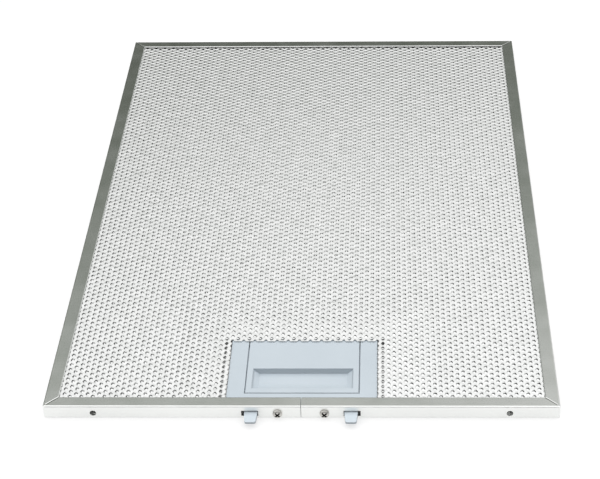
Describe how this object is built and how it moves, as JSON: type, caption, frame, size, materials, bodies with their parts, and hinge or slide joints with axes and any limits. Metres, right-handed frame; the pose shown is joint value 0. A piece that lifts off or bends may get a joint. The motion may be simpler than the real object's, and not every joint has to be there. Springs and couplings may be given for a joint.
{
  "type": "cooker hood grease filter",
  "caption": "Flat rectangular pack of expanded metal mesh in a folded aluminium frame, with a spring-loaded finger latch whose tongues lock it into a cooker hood.",
  "frame": {"origin": "bottom centre of the whole outline, with the latch tongues out", "axes": "+Z towards the visible mesh face with the finger recess, -Y towards the latch side, +X to the right as seen from the latch side"},
  "size_m": [0.268, 0.403, 0.008],
  "materials": {
    "frame": "satin rolled sheet",
    "mesh": "bright expanded sheet",
    "handle": "moulded, fine satin",
    "slide": "moulded, fine satin",
    "spring": "drawn wire",
    "screw": "zinc plated"
  },
  "bodies": {
    "filter": {"frame": "frame", "face_mesh": "mesh", "inner_mesh_1": "mesh", "inner_mesh_2": "mesh", "inner_mesh_3": "mesh", "back_mesh": "mesh", "handle_base": "handle", "handle_cover": "handle", "spring_left": "spring", "spring_right": "spring", "screws": "screw"},
    "latch": {"latch_slider": "slide"}
  },
  "joints": [
    {"name": "latch_slide", "type": "slide", "parent": "filter", "child": "latch", "axis": [0, 1, 0], "range_m": [0, 0.0085], "stiffness_N_per_m": 300, "springref_m": -0.01, "deforming": ["spring_left", "spring_right"]}
  ]
}
